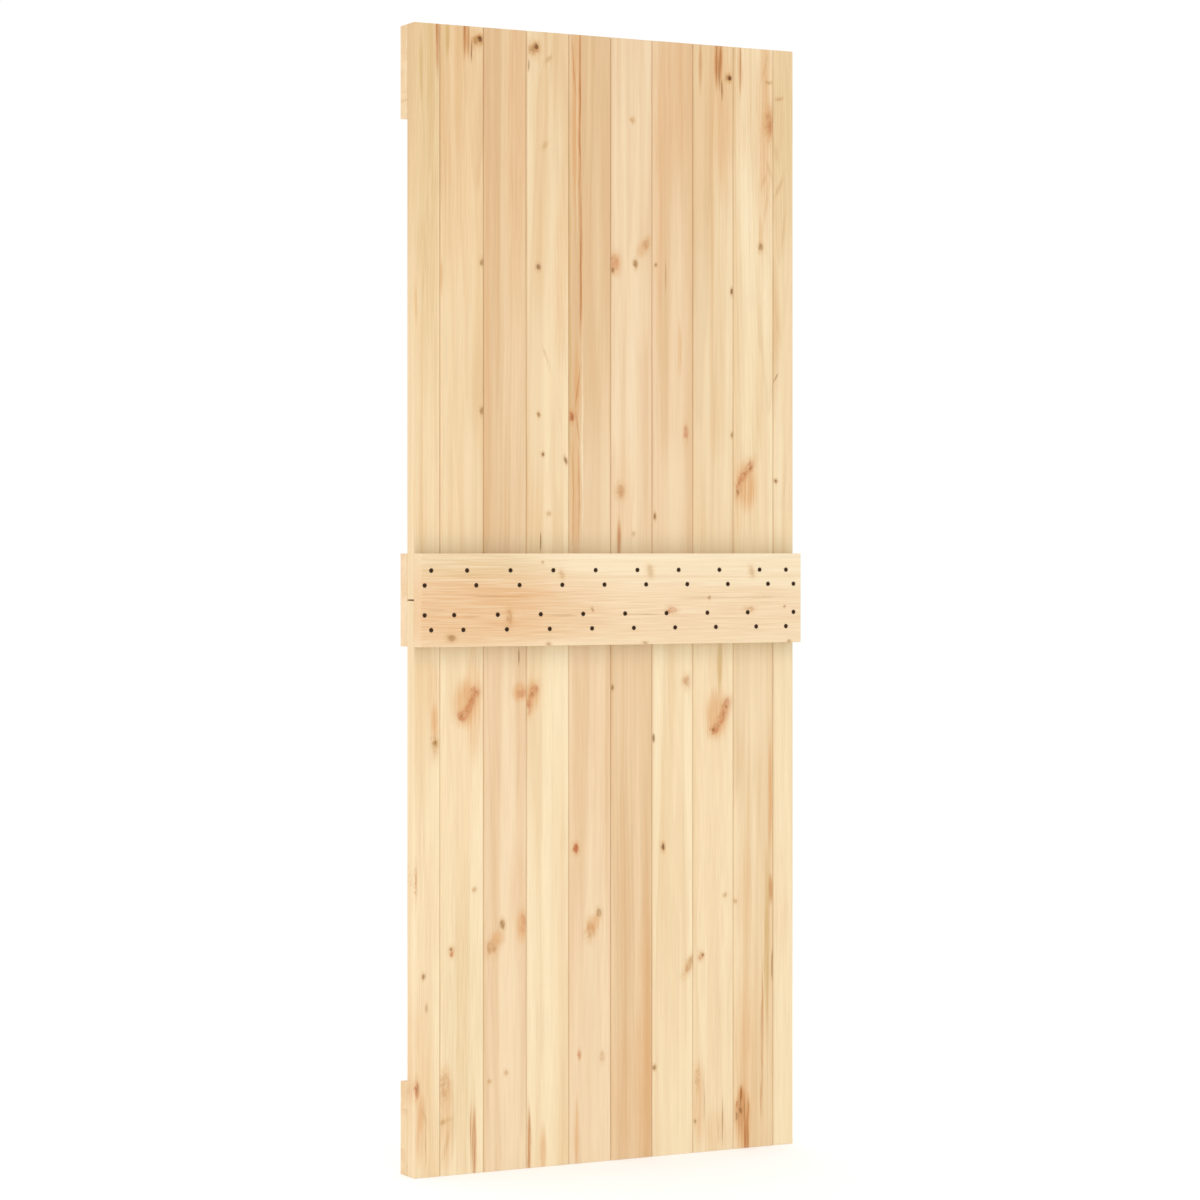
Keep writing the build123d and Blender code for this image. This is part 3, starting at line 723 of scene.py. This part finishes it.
    def outline(self, graph: Graph, door: Any, upright: Any, seed: Any, stretch: float) -> tuple[Any, Any]:
        """Moves the place on the door by small waves, which leaves the outline of a mark uneven.

        Args:
            graph: the material's nodes.
            door: socket of the place on the door.
            upright: the same with the grain along Z.
            seed: socket of the board's own number.
            stretch: length of the waves along the grain, against their width.

        Returns:
            The sockets of the moved place and of the waves.
        """
        along = self.edge_size * stretch
        noise = self.stretched(graph, upright, self.edge_size, along, seed, detail=3.0,
                               rough=self.edge_rough)
        ripple = self.edge_height * MM
        inputs = {0: noise.node.outputs[NOISE_COLOUR], 1: (ripple, 0.0, ripple), 2: door}
        pushed = graph.add("VectorMath", inputs, operation="MULTIPLY_ADD")
        inputs = {0: pushed, 1: (-ripple / 2, 0.0, -ripple / 2)}
        return graph.add("VectorMath", inputs, operation="ADD"), noise

    def paint_corner_shade(self, graph: Graph, height: Any, colour: Any) -> Any:
        """Paints shade on the planks beside the middle rails: a grey that stands in for the shade in the
        corner.

        The cover is full at a rail's edge and falls smoothly to nothing at the dust's reach, by the distance
        up or down from the rail's middle. It lies on the front and the back, and not on a plank's side.

        Args:
            graph: the material's nodes.
            height: socket of the height.
            colour: socket of the wood's colour.

        Returns:
            The socket of the new colour.
        """
        low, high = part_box("front_middle_rail")
        offset = graph.add("Math", {0: height, 1: (low.z + high.z) / 2}, operation="SUBTRACT")
        away = graph.add("Math", {0: offset}, operation="ABSOLUTE")
        edge = (high.z - low.z) / 2
        inputs = {0: away, 1: edge, 2: edge + self.corner_shade_reach * MM, 3: self.corner_shade_share, 4: 0.0}
        shade_strength = graph.add("MapRange", inputs, interpolation_type="SMOOTHSTEP")
        normal = graph.add("NewGeometry", {}, out=NORMAL)
        facing = graph.add("SeparateXYZ", {0: normal}, out=Y)
        flat = graph.add("Math", {0: facing}, operation="ABSOLUTE")
        cover = graph.add("Math", {0: shade_strength, 1: flat}, operation="MULTIPLY")
        tints = {0: cover, MIX_FROM: colour, MIX_TO: linear(self.corner_shade_tint)}
        return graph.add("Mix", tints, out=MIXED, data_type="RGBA")

    def strips(self, graph: Graph, board: Board, side: Any, seed: float) -> tuple[Any, Any]:
        """Numbers the strips that a rail is glued up from: the number goes up by one at each glue line.

        Args:
            graph: the material's nodes.
            board: the board.
            side: socket of the place across the grain.
            seed: the board's own number.

        Returns:
            The strip's number, which is plain 0 where nothing is glued, and the socket of the strip's seed.
        """
        strip: Any = 0.0
        for height in board.glue_lines:
            above = graph.add("Math", {0: side, 1: FOOT + height * MM}, operation="GREATER_THAN")
            strip = graph.add("Math", {0: above, 1: strip}, operation="ADD")
        inputs = {0: strip, 1: self.strip_seed, 2: seed}
        return strip, graph.add("Math", inputs, operation="MULTIPLY_ADD")

    def heart_distance(self, graph: Graph, name: str, board: Board, grain: Grain, door: Any, warp: Any,
                       strip: Any) -> Any:
        """Measures how far the wood lies from the log's heart.

        The place is parted by the knots, bent by long waves and moved on from one glued strip to the next.
        The distance is its length square to the heart's line, which leans by the board's tilt.

        Args:
            graph: the material's nodes.
            name: the board's node.
            board: its sawing and marks.
            grain: the way its grain runs.
            door: socket of the place on the door.
            warp: socket of the long waves.
            strip: number of the glued strip.

        Returns:
            The socket of the distance, in metres.
        """
        parted = door
        for mark in board.marks:
            if mark.kind.value.bends_rings:
                parted = self.part(graph, mark, grain, parted)
        flowing = graph.add("Mapping", {0: parted, "Rotation": grain.value})
        wave = self.warp_height * MM
        inputs = {0: warp.node.outputs[NOISE_COLOUR], 1: (wave, wave, 0.0), 2: flowing}
        bent = graph.add("VectorMath", inputs, operation="MULTIPLY_ADD")
        shift = graph.add("CombineXYZ", {0: strip, 1: strip})
        inputs = {0: shift, 1: (self.strip_shift * MM, self.strip_sink * MM, 0.0), 2: bent}
        moved = graph.add("VectorMath", inputs, operation="MULTIPLY_ADD")
        low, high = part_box(name)
        middle = Euler(grain.value).to_matrix() @ ((low + high) / 2)
        heart = middle + Vector((board.heart * MM + wave / 2, board.depth * MM + wave / 2, 0.0))
        inputs = {0: moved, "Location": heart, "Rotation": (math.radians(board.tilt), 0.0, 0.0),
                  "Scale": (1.0, 1.0, ANY_DEPTH)}
        spoke = graph.add("Mapping", inputs, vector_type="TEXTURE")
        return graph.add("VectorMath", {0: spoke}, out=VECTOR_VALUE, operation="LENGTH")

    def rings(self, graph: Graph, board: Board, radius: Any, seed: Any, calm: Any) -> Any:
        """Draws the growth rings.

        The distance from the heart, counted in rings, is split in two: its whole part is the ring's number,
        which sets how strong the ring is, and its rest is the place in the ring, along which the wood
        darkens.

        Args:
            graph: the material's nodes.
            board: the board.
            radius: socket of the distance from the heart.
            seed: socket of the board's own number.
            calm: socket of how far the rings show here.

        Returns:
            The socket of how much latewood there is, 0 to 1.
        """
        count = graph.add("Math", {0: radius, 1: 1 / (board.ring * MM)}, operation="MULTIPLY")
        within = graph.add("Math", {0: count}, operation="FRACT")
        number = graph.add("Math", {0: count}, operation="FLOOR")
        numbered = graph.add("Math", {0: number, 1: seed}, operation="ADD")
        strength = graph.add("TexWhiteNoise", {"W": numbered}, noise_dimensions="1D")
        depth = graph.add("MapRange", {0: strength, 1: 0.0, 2: 1.0, 3: self.ring_least, 4: 1.0})
        late = graph.add("ValToRGB", {0: within}, stops=self.year)
        shown = graph.add("Math", {0: depth, 1: calm}, operation="MULTIPLY")
        return graph.add("Math", {0: late, 1: shown}, operation="MULTIPLY")

    def ground(self, graph: Graph, board: Board, band: Any, stripe: Any, calm: Any) -> Any:
        """Colours the wood under the rings: earlywood with broad warm bands and soft stripes.

        Args:
            graph: the material's nodes.
            board: the board.
            band: socket of the bands' noise.
            stripe: socket of the stripes' noise.
            calm: socket of how far the stripes show here.

        Returns:
            The socket of the colour.
        """
        tone = board.tone.value
        low, high = self.band_range
        inputs = {0: band, 1: low, 2: high, 3: 0.0, 4: self.band_share * min(1.0, board.contrast)}
        broad = graph.add("MapRange", inputs, interpolation_type="SMOOTHSTEP")
        tints = {0: broad, MIX_FROM: linear(tone.early), MIX_TO: linear(tone.band)}
        stain = graph.add("Mix", tints, out=MIXED, data_type="RGBA")
        low, high = self.stripe_range
        inputs = {0: stripe, 1: low, 2: high, 3: 0.0, 4: self.stripe_share * board.contrast}
        streaky = graph.add("MapRange", inputs, interpolation_type="SMOOTHSTEP")
        patchy = graph.add("Math", {0: streaky, 1: calm}, operation="MULTIPLY")
        tints = {0: patchy, MIX_FROM: stain, MIX_TO: linear(self.stripe_tint)}
        return graph.add("Mix", tints, out=MIXED, data_type="RGBA")

    def end_grain(self, graph: Graph, grain: Grain, colour: Any) -> Any:
        """Evens out the sawn ends, which are the faces that look along the grain.

        Args:
            graph: the material's nodes.
            grain: the way the board's grain runs.
            colour: socket of the wood's colour.

        Returns:
            The socket of the new colour.
        """
        normal = graph.add("NewGeometry", {}, out=NORMAL)
        along = Euler(grain.value).to_matrix().transposed() @ Vector((0, 0, 1))
        facing = graph.add("VectorMath", {0: normal, 1: along}, out=VECTOR_VALUE, operation="DOT_PRODUCT")
        square = graph.add("Math", {0: facing}, operation="ABSOLUTE")
        low, high = self.end_range
        sawn = graph.add("MapRange", {0: square, 1: low, 2: high, 3: 0.0, 4: self.end_share})
        tints = {0: sawn, MIX_FROM: colour, MIX_TO: linear(self.end_tint)}
        return graph.add("Mix", tints, out=MIXED, data_type="RGBA")

    def make(self, name: str, board: Board, grain: Grain, seed: float) -> bpy.types.Material:
        """Makes the pine of one board.

        Its noises come first, then the rings, and then the colour from the ground up: rings, fibres, marks,
        painted shade beside the middle rails and sawn ends. Rings and stripes show most in the board's warm
        bands.

        Args:
            name: the board's node.
            board: its tone, sawing and marks.
            grain: the way its grain runs.
            seed: sets its noise apart from that of the other boards.

        Returns:
            The material.
        """
        material = bpy.data.materials.new(f"planed_pine_{name}")
        graph = Graph(material)
        door = graph.add("TexCoord", {}, out=OBJECT_PLACE)
        upright = graph.add("Mapping", {0: door, "Rotation": grain.value})
        spread = graph.add("SeparateXYZ", {0: upright}).node.outputs
        strip, own_seed = self.strips(graph, board, spread[X], seed)

        fibre = self.stretched(graph, upright, self.fibre_across, self.fibre_along, own_seed, detail=1.0)
        stripe = self.stretched(graph, upright, self.stripe_across, self.stripe_along, own_seed, detail=2.0)
        band = self.stretched(graph, upright, self.band_across, self.band_along, own_seed, detail=1.0)
        warp = self.stretched(graph, upright, self.warp_across, self.warp_along, own_seed, detail=3.0,
                              rough=board.wavy)
        stretches = {True: self.knot_along, False: self.streak_along}
        outlines = {
            knot: self.outline(graph, door, upright, own_seed, stretch)
            for knot, stretch in stretches.items()
        }
        low, high = self.calm_range
        calm = graph.add("MapRange", {0: band, 1: low, 2: high, 3: self.calm_least, 4: 1.0})
        radius = self.heart_distance(graph, name, board, grain, door, warp, strip)
        ring = self.rings(graph, board, radius, own_seed, calm)

        colour = self.ground(graph, board, band, stripe, calm)
        inputs = {0: ring, 1: min(1.0, self.ring_share * board.contrast)}
        covered = graph.add("Math", inputs, operation="MULTIPLY")
        tints = {0: covered, MIX_FROM: colour, MIX_TO: linear(board.tone.value.late)}
        colour = graph.add("Mix", tints, out=MIXED, data_type="RGBA")
        low, high = self.fibre_range
        hair = graph.add("MapRange", {0: fibre, 1: low, 2: high, 3: 0.0, 4: self.fibre_share})
        tints = {0: hair, MIX_FROM: colour, MIX_TO: linear(self.fibre_tint)}
        colour = graph.add("Mix", tints, out=MIXED, data_type="RGBA")
        for mark in board.marks:
            knot = mark.kind.value.bends_rings
            place, fleck = outlines[knot]
            colour = self.mark(graph, mark, grain, place, fleck if knot else fibre, colour)
        # painted shade beside the middle rails, on the upright planks only
        if grain is Grain.UPRIGHT:
            colour = self.paint_corner_shade(graph, spread[Z], colour)
        colour = self.end_grain(graph, grain, colour)

        rough = graph.add("MapRange", {0: ring, 3: self.early_roughness, 4: self.late_roughness})
        height = graph.add("Math", {0: fibre, 1: self.fibre_relief, 2: ring}, operation="MULTIPLY_ADD")
        inputs = {"Height": height, "Strength": self.relief_strength, "Distance": self.relief * MM}
        bump = graph.add("Bump", inputs)
        inputs = {"Base Color": colour, "Roughness": rough, "Normal": bump,
                  "Specular IOR Level": self.specular}
        shader = graph.add("BsdfPrincipled", inputs)
        graph.add("OutputMaterial", {0: shader})
        return material


@dataclass(frozen=True)
class BlackedSteel:
    """Steel screws with a baked oil coat.

    The coat is a brown-black satin film, a little lighter and duller where the driver and the wood have
    rubbed it.
    """

    coat: str = "#382411"
    rubbed: str = "#66492C"
    grit: float = 1.1  # size of the rubbed spots
    worn_range: tuple[float, float] = (0.52, 0.72)  # of the noise, over which a rubbed spot comes up
    worn_share: float = 0.55
    rough_range: tuple[float, float] = (0.3, 0.7)  # of the noise, over which the roughness rises
    roughness: tuple[float, float] = (0.38, 0.62)
    relief: float = 0.05  # height of the spots
    relief_strength: float = 0.3
    specular: float = 0.25

    def make(self) -> bpy.types.Material:
        """Makes the screws' material."""
        material = bpy.data.materials.new("black_coated_steel")
        graph = Graph(material)
        place = graph.add("TexCoord", {}, out=OBJECT_PLACE)
        spots = graph.add("TexNoise", {"Vector": place, "Scale": 1 / (self.grit * MM), "Detail": 3.0})
        low, high = self.worn_range
        worn = graph.add("MapRange", {0: spots, 1: low, 2: high, 3: 0.0, 4: self.worn_share})
        tints = {0: worn, MIX_FROM: linear(self.coat), MIX_TO: linear(self.rubbed)}
        colour = graph.add("Mix", tints, out=MIXED, data_type="RGBA")
        low, high = self.rough_range
        inputs = {0: spots, 1: low, 2: high, 3: self.roughness[0], 4: self.roughness[1]}
        rough = graph.add("MapRange", inputs)
        inputs = {"Height": spots, "Strength": self.relief_strength, "Distance": self.relief * MM}
        bump = graph.add("Bump", inputs)
        inputs = {"Base Color": colour, "Roughness": rough, "Normal": bump,
                  "Specular IOR Level": self.specular}
        shader = graph.add("BsdfPrincipled", inputs)
        graph.add("OutputMaterial", {0: shader})
        return material


def dress(name: str, material: bpy.types.Material) -> None:
    """Puts a material in all the slots of a CAD node.

    Args:
        name: the node.
        material: what it is made of.
    """
    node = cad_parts[name]
    node.data.materials.clear()
    node.data.materials.append(material)


@dataclass(frozen=True)
class BoardSet:
    """Boards that lie side by side or in a row: a tier of planks, or the rails."""

    title: str
    boards: dict[str, Board]
    grain: Grain
    first_seed: float
    seed_step: float = 3.7

    def build(self, finish: PlanedPine) -> None:
        """Dresses each board in a pine of its own.

        Args:
            finish: how the pine was worked.
        """
        for place, (name, board) in enumerate(self.boards.items()):
            seed = self.first_seed + place * self.seed_step
            dress(name, finish.make(name, board, self.grain, seed))
            tone = board.tone.name.lower()
            LOG.info("%s: %s in %s with %d marks", self.title, name, tone, len(board.marks))


@dataclass(frozen=True)
class ScrewRow:
    """One row of countersunk wood screws with a cross recess, for a CAD node that has plain heads."""

    node: str
    head_radius: float = 4.0
    rim: float = 0.5
    edge: float = 0.15  # depth of the head's broken edge
    shank_radius: float = 2.25
    point: float = 4.0
    face_rings: tuple[float, ...] = (0.35, 0.7, 1.05, 1.4, 1.75, 2.1, 2.5, 3.2, 3.85)  # radii on the face
    recess_reach: float = 2.5  # from the middle of the head to the end of an arm
    recess_depth: float = 1.5
    arm: float = 0.62  # half the width of an arm
    wall: float = 0.3  # how far the recess's walls lean out
    apart: float = 4.0  # least clear distance between two screws of a row
    front: float = -60.0  # a row that reaches past this depth is driven in from the front
    around: int = 32
    turn_step: float = 2.4  # radians, from one screw's recess to the next one's
    crease: float = 35.0  # degrees, from which an edge is sharp

    def places(self) -> tuple[np.ndarray, float, float, float]:
        """Finds the screws of the row in the CAD node.

        Returns:
            The places across, the height, the depth of the heads' faces and that of the points, in metres.
        """
        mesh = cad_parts[self.node].data
        flat = np.empty(len(mesh.vertices) * 3, np.float32)
        mesh.vertices.foreach_get("co", flat)
        across = np.sort(flat.reshape(-1, 3)[:, X].astype(float))
        screws = np.split(across, np.nonzero(np.diff(across) > self.apart * MM)[0] + 1)
        low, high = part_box(self.node)
        ends = (low.y, high.y) if low.y < self.front * MM else (high.y, low.y)
        return np.array([(s[0] + s[-1]) / 2 for s in screws]), (low.z + high.z) / 2, *ends

    def screw(self, length: float) -> np.ndarray:
        """Works out the points of one screw, in millimetres, with its axis along Y.

        A screw is a profile turned round its axis: the point at (u, v) lies at the profile's radius r(u), at
        the angle v, and at the profile's depth d(u). On the face of the head the recess is added to the
        depth: it is full inside the four arms, where the smaller of |x| and |z| is under half an arm's
        width, and runs out to nothing over the wall's width and at the ends of the arms.

        Args:
            length: from the head's face to the point.

        Returns:
            The points ring by ring, and then the middle of the recess and the tip.
        """
        neck = self.rim + self.head_radius - self.shank_radius
        face = np.array(self.face_rings)
        below = [self.head_radius, self.head_radius, self.shank_radius, self.shank_radius]
        radius = np.concatenate([face, below])
        depth = np.concatenate([face * 0.0, [self.edge, self.rim, neck, length - self.point]])
        angle = np.arange(self.around) * 2 * np.pi / self.around
        x = radius[:, None] * np.cos(angle)
        z = radius[:, None] * np.sin(angle)
        arms = np.clip((self.arm + self.wall - np.minimum(abs(x), abs(z))) / self.wall, 0, 1)
        ends = np.clip((self.recess_reach - np.hypot(x, z)) / (2 * self.wall), 0, 1)
        y = depth[:, None] + self.recess_depth * arms * ends
        rings = np.stack([x, y, z], axis=-1).reshape(-1, 3)
        poles = np.array([[0, self.recess_depth, 0], [0, length, 0]])
        return np.concatenate([rings, poles])

    def skin(self, points: int, screws: int) -> list[list[int]]:
        """Joins the points of all the screws: quads from ring to ring, and fans to the recess and the tip.

        Args:
            points: how many points a screw has.
            screws: how many screws the row has.

        Returns:
            The points of each face.
        """
        middle, tip = points - 2, points - 1
        rings = middle // self.around
        first = np.arange(rings - 1)[:, None] * self.around + np.arange(self.around)
        after = np.roll(first, -1, axis=1)
        quads = np.stack([first, after, after + self.around, first + self.around], axis=-1).reshape(-1, 4)
        lip = np.arange(self.around)
        last = lip + (rings - 1) * self.around
        fan_in = np.stack([np.roll(lip, -1), lip, np.full_like(lip, middle)], axis=-1)
        fan_out = np.stack([last, np.roll(last, -1), np.full_like(lip, tip)], axis=-1)
        fans = np.concatenate([fan_in, fan_out])
        base = (np.arange(screws) * points)[:, None, None]
        return [*(base + quads).reshape(-1, 4).tolist(), *(base + fans).reshape(-1, 3).tolist()]

    def build(self, material: bpy.types.Material) -> None:
        """Builds the row as one mesh, with each screw's recess turned on from the last one's.

        Args:
            material: what the screws are made of.
        """
        across, height, face, end = self.places()
        one = self.screw(abs(end - face) / MM)
        way = 1.0 if end > face else -1.0
        turn = np.arange(len(across)) * self.turn_step
        cos, sin = np.cos(turn)[:, None], np.sin(turn)[:, None]
        placed = np.stack([
            across[:, None] + way * (one[:, X] * cos - one[:, Z] * sin) * MM,
            np.broadcast_to(face + way * one[:, Y] * MM, (len(across), len(one))),
            height + (one[:, X] * sin + one[:, Z] * cos) * MM,
        ], axis=-1).reshape(-1, 3)

        name = f"{self.node}_recessed"
        mesh = bpy.data.meshes.new(name)
        mesh.from_pydata(placed.tolist(), [], self.skin(len(one), len(across)))
        mesh.shade_smooth()
        mesh.set_sharp_from_angle(angle=math.radians(self.crease))
        mesh.materials.append(material)
        piece = bpy.data.objects.new(name, mesh)
        bpy.context.scene.collection.objects.link(piece)
        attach(piece, "root")
        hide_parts(self.node)
        LOG.info("screws: %s with %d screws", name, len(across))


@dataclass(frozen=True)
class SoftBox:
    """A square soft box that faces the middle of the door."""

    name: str
    place: tuple[float, float, float]  # metres
    size: float  # metres
    watts: float

    def build(self) -> None:
        """Hangs the soft box."""
        lamp = bpy.data.lights.new(self.name, "AREA")
        lamp.shape = "SQUARE"
        lamp.size = self.size
        lamp.energy = self.watts
        holder = bpy.data.objects.new(self.name, lamp)
        holder.location = self.place
        aim = Vector((0.0, 0.0, FOOT / 2)) - Vector(self.place)
        holder.rotation_euler = aim.to_track_quat("-Z", "Y").to_euler()
        bpy.context.scene.collection.objects.link(holder)


@dataclass(frozen=True)
class Studio:
    """White seamless studio: floor, sky, soft boxes and the camera at the photograph's angle."""

    camera_place: tuple[float, float, float] = (-2988.9, -5711.7, -961.7)
    camera_turn: float = -27.661  # degrees about the vertical
    camera_reach: float = 200.0  # metres, as far as the camera sees
    lens: float = 102.816
    sensor: float = 36.0
    shift_up: float = -0.0403  # in widths of the sensor
    floor_radius: float = 9000.0
    floor_clear: float = 1500.0  # from here on the floor fades into the white behind it
    floor_gone: float = 5200.0
    floor_rings: int = 12
    floor_spokes: int = 96
    floor_hub: float = 0.05  # of the floor's radius, before the rings are crowded towards the middle
    floor_crowd: float = 1.5  # the power that crowds them
    floor_gap: float = 0.4  # between the door's foot and the floor
    paper_colour: str = "#DCDBDA"
    paper_glow: float = 0.28  # the paper is lit a little from below, as a light table is
    paper_grain: float = 250.0  # size of its duller patches
    paper_roughness: tuple[float, float] = (0.85, 0.95)
    sky_level: float = 1.0  # how bright the sky is at the horizon
    sky_high: float = 1.12  # and overhead, so that a ledge shades the planks above and below it
    boxes: tuple[SoftBox, ...] = (
        SoftBox("front_box", (-0.9, -2.6, -1.0), 1.4, 7.0),
        SoftBox("side_box", (-3.0, -0.6, -1.0), 1.4, 9.0),
        SoftBox("back_box", (0.9, 2.6, -1.0), 1.4, 7.0),
    )

    def paper(self) -> bpy.types.Material:
        """Makes the floor's matt paper, which takes a soft shadow and fades into the sky with the radius.

        Returns:
            The material.
        """
        material = bpy.data.materials.new("matt_white_paper")
        graph = Graph(material)
        place = graph.add("TexCoord", {}, out=OBJECT_PLACE)
        flat = graph.add("VectorMath", {0: place, 1: (1.0, 1.0, 0.0)}, operation="MULTIPLY")
        away = graph.add("VectorMath", {0: flat}, out=VECTOR_VALUE, operation="LENGTH")
        inputs = {0: away, 1: self.floor_clear * MM, 2: self.floor_gone * MM, 3: 1.0, 4: 0.0}
        solid = graph.add("MapRange", inputs, interpolation_type="SMOOTHSTEP")
        grain = graph.add("TexNoise", {"Vector": place, "Scale": 1 / (self.paper_grain * MM)})
        rough = graph.add("MapRange", {0: grain, 3: self.paper_roughness[0], 4: self.paper_roughness[1]})
        inputs = {"Base Color": linear(self.paper_colour), "Roughness": rough, "Alpha": solid,
                  "Emission Color": WHITE, "Emission Strength": self.paper_glow}
        shader = graph.add("BsdfPrincipled", inputs)
        graph.add("OutputMaterial", {0: shader})
        return material

    def floor(self) -> None:
        """Lays a disc: the point at (u, v) is at the angle v and a radius that grows with a power of u."""
        share = np.linspace(self.floor_hub, 1.0, self.floor_rings) ** self.floor_crowd
        radius = share * self.floor_radius * MM
        angle = np.arange(self.floor_spokes) * 2 * np.pi / self.floor_spokes
        x = radius[:, None] * np.cos(angle)
        y = radius[:, None] * np.sin(angle)
        level = np.full_like(x, FOOT - self.floor_gap * MM)
        points = np.stack([x, y, level], axis=-1).reshape(-1, 3)
        spoke = np.arange(self.floor_spokes)
        first = np.arange(self.floor_rings - 1)[:, None] * self.floor_spokes + spoke
        after = np.roll(first, -1, axis=1)
        outer = first + self.floor_spokes
        quads = np.stack([first, outer, np.roll(outer, -1, axis=1), after], axis=-1).reshape(-1, 4)
        mesh = bpy.data.meshes.new("studio_floor")
        mesh.from_pydata(points.tolist(), [], [*quads.tolist(), spoke.tolist()])
        mesh.shade_smooth()
        mesh.materials.append(self.paper())
        ground = bpy.data.objects.new("studio_floor", mesh)
        bpy.context.scene.collection.objects.link(ground)

    def world(self) -> None:
        """Makes a white sky, a little brighter towards its top."""
        world = bpy.data.worlds.new("white_sky")
        graph = Graph(world)
        way = graph.add("TexCoord", {})
        height = graph.add("SeparateXYZ", {0: way}, out=Z)
        steep = graph.add("Math", {0: height}, operation="ABSOLUTE")
        glow = graph.add("MapRange", {0: steep, 3: self.sky_level, 4: self.sky_high})
        sky = graph.add("Background", {"Color": WHITE, "Strength": glow})
        graph.add("OutputWorld", {0: sky})
        bpy.context.scene.world = world

    def camera(self) -> None:
        """Sets a level camera to the left of the door; only a vertical shift frames it."""
        data = bpy.data.cameras.new("photo_camera")
        data.lens = self.lens
        data.sensor_width = self.sensor
        data.shift_y = self.shift_up
        data.clip_end = self.camera_reach
        camera = bpy.data.objects.new("photo_camera", data)
        camera.location = Vector(self.camera_place) * MM
        camera.rotation_euler = (math.pi / 2, 0.0, math.radians(self.camera_turn))
        bpy.context.scene.collection.objects.link(camera)
        bpy.context.scene.camera = camera

    def build(self) -> None:
        """Sets up the studio."""
        self.world()
        self.floor()
        for box in self.boxes:
            box.build()
        self.camera()
        bpy.context.scene.view_settings.view_transform = "Standard"
        LOG.info("studio: floor, sky, %d soft boxes and the camera", len(self.boxes))


SCREWED_RAILS = ("front_middle_rail", "back_top_rail", "back_bottom_rail")
SCREW_ROWS = (1, 2, 3, 4)


def main() -> None:
    """Builds the door's looks, piece by piece."""
    logging.basicConfig(level=logging.INFO, format="%(name)s: %(message)s")
    pine = PlanedPine()
    BoardSet("upper planks", UPPER_BOARDS, Grain.UPRIGHT, first_seed=11.0).build(pine)
    BoardSet("lower planks", LOWER_BOARDS, Grain.UPRIGHT, first_seed=61.0).build(pine)
    BoardSet("rails", RAIL_BOARDS, Grain.SIDEWAYS, first_seed=121.0).build(pine)
    steel = BlackedSteel().make()
    for rail in SCREWED_RAILS:
        for row in SCREW_ROWS:
            ScrewRow(f"{rail}_screws_row_{row}").build(steel)
    Studio().build()


if __name__ == "__main__":
    main()
